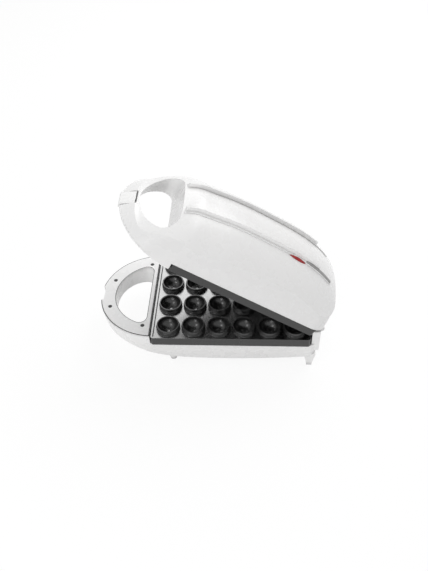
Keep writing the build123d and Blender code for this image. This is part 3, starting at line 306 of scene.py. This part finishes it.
class Maker:
    """A small helper that builds one procedural material."""

    def __init__(self, name):
        self.material = bpy.data.materials.new(name)
        self.material.use_nodes = True
        self.tree = self.material.node_tree
        self.shader = self.tree.nodes["Principled BSDF"]
        self.coordinates = self.tree.nodes.new("ShaderNodeTexCoord")

    def set(self, **sockets):
        """Set the shader's own sockets; an underscore stands for a space."""
        for name, value in sockets.items():
            self.shader.inputs[name.replace("_", " ")].default_value = value

    def noise(self, scale, detail=3.0, roughness=0.55):
        """A noise texture in the object's own space, with its scale per metre."""
        node = self.tree.nodes.new("ShaderNodeTexNoise")
        node.inputs["Scale"].default_value = scale
        node.inputs["Detail"].default_value = detail
        node.inputs["Roughness"].default_value = roughness
        self.tree.links.new(self.coordinates.outputs["Object"], node.inputs["Vector"])
        return node.outputs["Fac"]

    def ramp(self, source, stops):
        """A colour ramp over a value, from pairs of place and colour."""
        node = self.tree.nodes.new("ShaderNodeValToRGB")
        ramp = node.color_ramp
        while len(ramp.elements) < len(stops):
            ramp.elements.new(0.5)
        for element, (place, colour) in zip(ramp.elements, stops):
            element.position = place
            element.color = (*colour, 1.0)
        self.tree.links.new(source, node.inputs["Fac"])
        return node.outputs["Color"]

    def tint(self, source, first, second):
        """A noise turned into a run from one colour to another."""
        return self.ramp(source, [(TINT_LOW, first), (TINT_HIGH, second)])

    def spread(self, source, low, high):
        """A noise turned into values from low to high."""
        node = self.tree.nodes.new("ShaderNodeMapRange")
        node.inputs["From Min"].default_value = NOISE_LOW
        node.inputs["From Max"].default_value = NOISE_HIGH
        node.inputs["To Min"].default_value = low
        node.inputs["To Max"].default_value = high
        self.tree.links.new(source, node.inputs["Value"])
        return node.outputs["Result"]

    def mix(self, share, first, second):
        """The first colour turned into the second by a share."""
        node = self.tree.nodes.new("ShaderNodeMix")
        node.data_type = "RGBA"
        self.tree.links.new(share, node.inputs["Factor"])
        self.tree.links.new(first, node.inputs["A"])
        self.tree.links.new(second, node.inputs["B"])
        return node.outputs["Result"]

    def test(self, operation, value, limit):
        """One where a value passes a test against a limit, and zero elsewhere."""
        node = self.tree.nodes.new("ShaderNodeMath")
        node.operation = operation
        node.inputs[1].default_value = limit
        self.tree.links.new(value, node.inputs[0])
        return node.outputs["Value"]

    def height_of(self, vector):
        """The Z part of a vector."""
        parts = self.tree.nodes.new("ShaderNodeSeparateXYZ")
        self.tree.links.new(vector, parts.inputs["Vector"])
        return parts.outputs["Z"]

    def painted_corner_shade(self, open_colour, shade, reach):
        """The colour, turned to a painted shade where other surfaces come within reach, standing in for the
        shade in corners and crevices.
        """
        node = self.tree.nodes.new("ShaderNodeAmbientOcclusion")
        node.samples = CORNER_SAMPLES
        node.inputs["Distance"].default_value = reach
        # painted shade: the colour that closed corners turn to
        corner_shade_colour = self.tree.nodes.new("ShaderNodeRGB")
        corner_shade_colour.outputs[0].default_value = (*shade, 1.0)
        closed = self.tree.nodes.new("ShaderNodeMapRange")
        closed.inputs["From Min"].default_value = CORNER_CLOSED
        closed.inputs["From Max"].default_value = CORNER_OPEN
        self.tree.links.new(node.outputs["AO"], closed.inputs["Value"])
        return self.mix(closed.outputs["Result"], corner_shade_colour.outputs[0], open_colour)

    def level_face(self, least, top):
        """One below a height on faces whose normal rises enough, and zero elsewhere."""
        geometry = self.tree.nodes.new("ShaderNodeNewGeometry")
        level = self.test("GREATER_THAN", self.height_of(geometry.outputs["True Normal"]), least)
        low = self.test("LESS_THAN", self.height_of(geometry.outputs["Position"]), top)
        both = self.tree.nodes.new("ShaderNodeMath")
        both.operation = "MULTIPLY"
        self.tree.links.new(level, both.inputs[0])
        self.tree.links.new(low, both.inputs[1])
        return both.outputs["Value"]

    def feed(self, output, socket):
        """Feed a value or colour to one of the shader's sockets."""
        self.tree.links.new(output, self.shader.inputs[socket])

    def relief(self, layers, edge=0.0):
        """Bumps from pairs of value and height in metres, over edges rounded by a radius."""
        normal = None
        if edge:
            bevel = self.tree.nodes.new("ShaderNodeBevel")
            bevel.samples = EDGE_SAMPLES
            bevel.inputs["Radius"].default_value = edge
            normal = bevel.outputs["Normal"]
        for value, height in layers:
            bump = self.tree.nodes.new("ShaderNodeBump")
            bump.inputs["Strength"].default_value = 1.0
            bump.inputs["Distance"].default_value = height
            self.tree.links.new(value, bump.inputs["Height"])
            if normal is not None:
                self.tree.links.new(normal, bump.inputs["Normal"])
            normal = bump.outputs["Normal"]
        self.tree.links.new(normal, self.shader.inputs["Normal"])


def grey(level, warm=0.0):
    """A grey with a touch of warmth."""
    return (level * (1 + warm), level, level * (1 - warm))


def white_plastic():
    """Glossy white moulded plastic with a fine grain, with painted shade in its corners."""
    make = Maker("white_plastic")
    clean = make.tint(make.noise(scale=14.0, detail=2.0), grey(0.896, 0.004), grey(0.906, 0.002))
    # painted shade: the plastic's colour is darkened in its corners and crevices
    make.feed(make.painted_corner_shade(clean, shade=grey(0.5, 0.01), reach=1.6 * MM), "Base Color")
    make.feed(make.spread(make.noise(scale=60.0), low=0.24, high=0.32), "Roughness")
    make.set(IOR=1.5)
    grain = make.noise(scale=2400.0, detail=2.0)
    wave = make.noise(scale=160.0, detail=2.0)
    make.relief([(grain, 2.5 * MICRON), (wave, 6.0 * MICRON)], edge=0.6 * MM)
    return make.material


def plate_coating(name, flat=0.0):
    """The speckled black coating; a flat value makes level faces lighter and metal-like, a painted sheen on
    the plate's top.
    """
    make = Maker(name)
    speckle = make.noise(scale=1500.0, roughness=0.7)
    dark = make.ramp(speckle, [(0.35, grey(0.011)), (0.6, grey(0.02)), (0.75, grey(0.042))])
    if flat:
        # painted sheen: level faces low on the plate get a lighter, metal-like copy of the coating's colour
        light = make.ramp(speckle, [(0.36, grey(0.8 * flat)), (0.5, grey(flat)), (0.66, grey(1.15 * flat))])
        level = make.level_face(PAINTED_SHEEN_LEAST, PAINTED_SHEEN_TOP_Z)
        make.feed(make.mix(level, dark, light), "Base Color")
        make.feed(level, "Metallic")
    else:
        make.feed(dark, "Base Color")
    make.feed(make.spread(make.noise(scale=45.0), low=0.22, high=0.28), "Roughness")
    make.set(IOR=1.6)
    wave = make.noise(scale=420.0, detail=2.0)
    make.relief([(speckle, 12.0 * MICRON), (wave, 12.0 * MICRON)], edge=0.5 * MM)
    return make.material


def bright_steel():
    """Zinc plated steel, cloudy and slightly warm."""
    make = Maker("zinc_steel")
    make.feed(make.tint(make.noise(scale=120.0), grey(0.42, 0.02), grey(0.55, 0.01)), "Base Color")
    make.feed(make.spread(make.noise(scale=700.0, detail=2.0), low=0.3, high=0.5), "Roughness")
    make.set(Metallic=1.0)
    make.relief([(make.noise(scale=900.0, detail=2.0), 10.0 * MICRON)], edge=0.2 * MM)
    return make.material


def element_sheath():
    """The heaters' dark sheath, marked by heat."""
    make = Maker("element_sheath")
    cloud = make.noise(scale=70.0, detail=4.0)
    make.feed(make.tint(cloud, grey(0.16, 0.1), grey(0.28, 0.05)), "Base Color")
    make.feed(make.spread(cloud, low=0.4, high=0.6), "Roughness")
    make.set(Metallic=0.9)
    make.relief([(make.noise(scale=800.0, detail=2.0), 10.0 * MICRON)])
    return make.material


def tray_sheet():
    """The reflectors' bright sheet."""
    make = Maker("tray_aluminium")
    make.feed(make.tint(make.noise(scale=40.0), grey(0.62), grey(0.72)), "Base Color")
    make.feed(make.spread(make.noise(scale=300.0), low=0.25, high=0.4), "Roughness")
    make.set(Metallic=1.0)
    make.relief([(make.noise(scale=500.0), 10.0 * MICRON)], edge=0.2 * MM)
    return make.material


def red_lens():
    """The lamp window's red plastic, partly clear."""
    make = Maker("red_lens")
    streak = make.noise(scale=260.0, detail=2.0)
    make.feed(make.tint(streak, (0.38, 0.004, 0.006), (0.5, 0.01, 0.012)), "Base Color")
    make.feed(make.spread(streak, low=0.1, high=0.18), "Roughness")
    make.set(IOR=1.5, Transmission_Weight=0.25)
    make.relief([(make.noise(scale=500.0, detail=2.0), 10.0 * MICRON)], edge=0.4 * MM)
    return make.material


def lamp_glass():
    """The small lamp's warm glass."""
    make = Maker("lamp_glass")
    cloud = make.noise(scale=200.0, detail=2.0)
    make.feed(make.tint(cloud, (0.85, 0.6, 0.5), (0.95, 0.7, 0.6)), "Base Color")
    make.feed(make.spread(cloud, low=0.05, high=0.1), "Roughness")
    make.set(IOR=1.5, Transmission_Weight=0.9)
    return make.material


def matt_moulding(name, dark, light, low, high):
    """A matt moulded or rubber surface with a fine grain, from two colours and its roughness."""
    make = Maker(name)
    make.feed(make.tint(make.noise(scale=90.0), dark, light), "Base Color")
    make.feed(make.spread(make.noise(scale=400.0), low, high), "Roughness")
    make.relief([(make.noise(scale=1200.0, detail=2.0), 20.0 * MICRON)], edge=0.4 * MM)
    return make.material


def brass():
    """The bushes' brass."""
    make = Maker("bush_brass")
    cloud = make.noise(scale=150.0)
    make.feed(make.tint(cloud, (0.55, 0.4, 0.18), (0.7, 0.54, 0.27)), "Base Color")
    make.feed(make.spread(cloud, low=0.25, high=0.4), "Roughness")
    make.set(Metallic=1.0)
    return make.material


def dark_screw():
    """Dark, nearly black steel for the screws in the handle's cover."""
    make = Maker("dark_screw")
    cloud = make.noise(scale=400.0)
    make.feed(make.tint(cloud, grey(0.05), grey(0.09)), "Base Color")
    make.feed(make.spread(cloud, low=0.4, high=0.55), "Roughness")
    make.set(Metallic=0.8)
    return make.material


def dress():
    """Every CAD node gets its slot's material, and two get one of their own."""
    made = {
        "white_plastic": white_plastic(),
        "plate_coating": plate_coating("plate_coating"),
        "zinc_steel": bright_steel(),
        "element_sheath": element_sheath(),
        "tray_aluminium": tray_sheet(),
        "red_lens": red_lens(),
        "lamp_glass": lamp_glass(),
        "inner_plastic": matt_moulding("inner_plastic", (0.6, 0.57, 0.5), (0.7, 0.67, 0.6), 0.5, 0.6),
        "black_plastic": matt_moulding("black_plastic", grey(0.02), grey(0.035), 0.45, 0.6),
        "lead_insulation": matt_moulding("lead_insulation", (0.6, 0.56, 0.48), (0.7, 0.66, 0.58), 0.4, 0.55),
        "foot_rubber": matt_moulding("foot_rubber", grey(0.68), grey(0.76), 0.6, 0.75),
        "bush_brass": brass(),
        # painted shade: the dark finish of the strips that stand in for shaded seams, gaps and grooves
        "painted_gap_shade": matt_moulding("painted_gap_shade", grey(0.03), grey(0.06), 0.5, 0.6),
        # painted shade: the grey of the strip that stands in for the shaded rail side behind the lamp
        "painted_slot_shade": matt_moulding("painted_slot_shade", grey(0.3, 0.01), grey(0.36, 0.01), 0.35, 0.45),
    }
    for part in frame["record"]["subparts"]:
        node = frame["nodes"][part["node"]]
        node.data.materials.clear()
        node.data.materials.append(made[part["material_slot"]])
    # the cup plate's coating carries the painted sheen on its top
    frame["nodes"]["cup_plate"].data.materials[0] = plate_coating("painted_sheen_top", PAINTED_SHEEN_LEVEL)
    frame["nodes"]["base_handle_screws"].data.materials[0] = dark_screw()
    return made


def in_lid(x, y, z):
    """A place given with the lid closed, taken to the open lid."""
    dx = x - HINGE_X
    dz = z - HINGE_Z
    c = math.cos(LID_OPEN)
    s = math.sin(LID_OPEN)
    return (HINGE_X + c * dx + s * dz, y, HINGE_Z - s * dx + c * dz)


def piece(name, vertices, faces, finish, body):
    """A visible piece that rides on a body."""
    mesh = bpy.data.meshes.new(name)
    mesh.from_pydata(vertices, [], faces)
    mesh.validate()
    mesh.shade_smooth()
    made = bpy.data.objects.new(name, mesh)
    bpy.context.scene.collection.objects.link(made)
    mesh.materials.append(MATERIALS[finish])
    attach(made, body)
    return made


def bridge(rows, columns, closed):
    """The faces between rows of points; a closed row runs round to its start."""
    faces = []
    for row in range(rows - 1):
        for column in range(columns if closed else columns - 1):
            after = (column + 1) % columns
            low = row * columns
            high = low + columns
            faces.append((low + column, low + after, high + after, high + column))
    return faces


def cups():
    """The middle of each cup."""
    return [((column - (COLUMNS - 1) / 2) * COLUMN_PITCH, (row - (ROWS - 1) / 2) * ROW_PITCH)
            for row in range(ROWS) for column in range(COLUMNS)]


def turned(name, profile, steps, lift):
    """The same turned shape in every cup; the lift raises a point by its radius and angle."""
    vertices = []
    faces = []
    for x, y in cups():
        first = len(vertices)
        for radius, z in profile:
            for step in range(steps):
                angle = 2 * math.pi * step / steps
                place = (x + radius * math.cos(angle), y + radius * math.sin(angle))
                vertices.append((*place, z + lift(radius, angle)))
        faces += [tuple(first + i for i in face) for face in bridge(len(profile), steps, True)]
    piece(name, vertices, faces, "plate_coating", "base")


def bowl_z(r):
    """The height of a cup's bowl at a radius, a ball's inside that is level at its floor."""
    rise = CUP_BEND_Z - CUP_FLOOR_Z
    ball = (CUP_MOUTH_R ** 2 + rise ** 2) / (2 * rise)
    return CUP_FLOOR_Z + ball - math.sqrt(ball ** 2 - r ** 2)


def nut_ribs():
    """The walnut's wrinkles on the floor of each cup, whose inner and outer edges meet the bowl."""

    def wrinkle(radius, angle):
        share = (radius - RIB_INNER_R) / (RIB_OUTER_R - RIB_INNER_R)
        bend = RIB_BEND * math.sin(RIB_WAVES * angle) * share
        crest = max(0.0, math.cos(RIB_COUNT * angle + bend)) ** 2
        return RIB_HEIGHT * crest * math.sin(math.pi * share) - SKIN * math.cos(math.pi * share) ** 8

    profile = []
    for ring in range(RIB_RINGS + 1):
        r = RIB_INNER_R + (RIB_OUTER_R - RIB_INNER_R) * ring / RIB_RINGS
        profile.append((r, bowl_z(r) + SKIN))
    turned("nut_ribs", profile, RIB_STEPS, wrinkle)


def cup_beads():
    """A thin raised bead round the outside of each cup, below its rim."""
    profile = []
    for turn in range(BEAD_TURNS + 1):
        angle = 2 * math.pi * turn / BEAD_TURNS
        profile.append((BEAD_R + BEAD_THICK * math.cos(angle), BEAD_Z + BEAD_THICK * math.sin(angle)))
    turned("cup_beads", profile, BEAD_STEPS, lambda radius, angle: 0.0)


def ribbon(name, path, width, z, closed=False, growth=0.0):
    """A thin flat strip of painted shade along a plan path on the base; it may grow wider to its end."""
    count = len(path)
    vertices = []
    for side in (-1, 1):
        for i, (x, y) in enumerate(path):
            before = path[i - 1] if i or closed else path[i]
            after = path[(i + 1) % count] if i < count - 1 or closed else path[i]
            along = Vector((after[0] - before[0], after[1] - before[1])).normalized()
            reach = side * (width + growth * i / count) / 2
            vertices.append((x - along.y * reach, y + along.x * reach, z))
    # painted shade: a flat dark strip laid where a seam or groove is in shade
    piece(name, vertices, bridge(2, count, closed), "painted_gap_shade", "base")


def arc(centre_x, centre_y, radius, start, end, steps):
    """Points along a plan arc, from one angle to another in degrees."""
    points = []
    for step in range(steps + 1):
        angle = math.radians(start + (end - start) * step / steps)
        points.append((centre_x + radius * math.cos(angle), centre_y + radius * math.sin(angle)))
    return points


def hole_path(grow):
    """The D of the base's handle hole, grown outwards."""
    corner = HOLE_CORNER + grow
    centre_x = HOLE_X - HOLE_CORNER
    reach = HOLE_R - HOLE_CORNER
    centre_y = math.sqrt(reach ** 2 - (LOOP_X - centre_x) ** 2)
    turn = math.degrees(math.atan2(centre_y, centre_x - LOOP_X))
    path = arc(centre_x, centre_y, corner, 0, turn, CORNER_STEPS)
    path += arc(LOOP_X, 0, HOLE_R + grow, turn, 360 - turn, HOLE_STEPS)[1:]
    path += arc(centre_x, -centre_y, corner, 360 - turn, 360, CORNER_STEPS)[1:]
    return path


def across_plate(x, inset):
    """A straight line across the plate, short of its sides by an inset."""
    half = PLATE_HALF_WIDTH - inset
    return [(x, -half), (x, half)]


def seams():
    """Painted shade lines round the base's handle cover and along the plate's end: flat dark strips where
    the seams, the gap and the groove are in shade; the gap's line is partly the plate's own black edge.
    """
    rim_r = LOOP_R - RIM_INSET
    cover_z = COVER_TOP + SKIN
    far_rim = arc(LOOP_X, 0, rim_r, RIM_START, RIM_LATCH, RIM_STEPS)
    near_rim = arc(LOOP_X, 0, rim_r, 360 - RIM_LATCH, 360 - RIM_START, RIM_STEPS)
    ribbon("cover_seam_far", far_rim, RIM_FAR_WIDTH, cover_z)
    ribbon("cover_seam_near", near_rim, RIM_NEAR_WIDTH, cover_z, growth=RIM_NEAR_GROWTH)
    ribbon("hole_seam", hole_path(HOLE_SEAM_GROW), HOLE_SEAM_WIDTH, cover_z, closed=True)
    ribbon("plate_end_gap", across_plate(END_GAP_X, END_GAP_INSET), END_GAP_WIDTH, cover_z + SKIN)
    ribbon("plate_groove", across_plate(GROOVE_X, GROOVE_INSET), GROOVE_WIDTH, SKIN)


def crown_z(x, y):
    """The height of the lid's crown, by a parabola through the three stations round X."""
    first = 0 if x < CROWN_STATIONS[1][0] else 1
    (x0, z0), (x1, z1), (x2, z2) = CROWN_STATIONS[first:first + 3]
    slope = (z1 - z0) / (x1 - x0)
    next_slope = (z2 - z1) / (x2 - x1)
    curve = (next_slope - slope) / (x2 - x0)
    middle = z0 + slope * (x - x0) + curve * (x - x0) * (x - x1)
    return middle - CROWN_R + math.sqrt(CROWN_R ** 2 - y ** 2)


def lamp_window():
    """The red lamp window, a pointed oval along the near rail."""
    vertices = []
    for row in range(LENS_ROWS):
        across = math.pi * row / (LENS_ROWS - 1)
        for column in range(LENS_COLUMNS):
            share = column / (LENS_COLUMNS - 1)
            x = LENS_X0 + (LENS_X1 - LENS_X0) * share
            thick = math.sin(math.pi * share ** LENS_SKEW) ** LENS_BLUNT
            y = LENS_Y - LENS_WIDE / 2 * thick * math.cos(across)
            rise = FLANGE_TOP - LENS_SUNK + LENS_HIGH * thick * math.sin(across)
            vertices.append(in_lid(x, y, crown_z(x, y) + rise))
    faces = bridge(LENS_ROWS, LENS_COLUMNS, False)
    window = piece("lamp_window", vertices, faces, "red_lens", "lid")
    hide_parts("red_lens")


def lamp_flange():
    """The bit of flange that closes the slot beside the window."""
    vertices = []
    for y, rise in ((SLOT_Y0, -SLOT_DEPTH), (SLOT_Y0, FLANGE_TOP), (SLOT_Y1, FLANGE_TOP)):
        for column in range(LENS_COLUMNS):
            x = SLOT_X0 + (SLOT_X1 - SLOT_X0) * column / (LENS_COLUMNS - 1)
            vertices.append(in_lid(x, y, crown_z(x, y) + rise))
    faces = bridge(3, LENS_COLUMNS, False)
    flange = piece("lamp_flange", vertices, faces, "white_plastic", "lid")
    flange.data.shade_flat()


def rail_shade_strip():
    """A grey strip of painted shade behind the lamp on the near rail's flange, where the rail's side and
    slot are in shade, with its outer face and its top.
    """
    vertices = []
    for y, height in ((SHADE_STRIP_Y0, -SHADE_STRIP_SUNK), (SHADE_STRIP_Y0, SHADE_STRIP_HIGH), (SHADE_STRIP_Y1, SHADE_STRIP_HIGH)):
        for column in range(SHADE_STRIP_COLUMNS):
            share = column / (SHADE_STRIP_COLUMNS - 1)
            x = SHADE_STRIP_X0 + (SHADE_STRIP_X1 - SHADE_STRIP_X0) * share
            rise = height * min(1.0, SHADE_STRIP_NOSE * share) + SHADE_STRIP_RISE * share
            vertices.append(in_lid(x, y, crown_z(x, y) + FLANGE_TOP + rise))
    faces = bridge(3, SHADE_STRIP_COLUMNS, False)
    # painted shade: a grey strip where the rail's side is in shade
    shade_strip = piece("rail_shade_strip", vertices, faces, "painted_slot_shade", "lid")
    shade_strip.data.shade_flat()


MATERIALS = dress()
nut_ribs()
cup_beads()
seams()
lamp_window()
lamp_flange()
rail_shade_strip()
camera()
world()
floor()
lamps()

scene = bpy.context.scene
scene.view_settings.view_transform = "Standard"
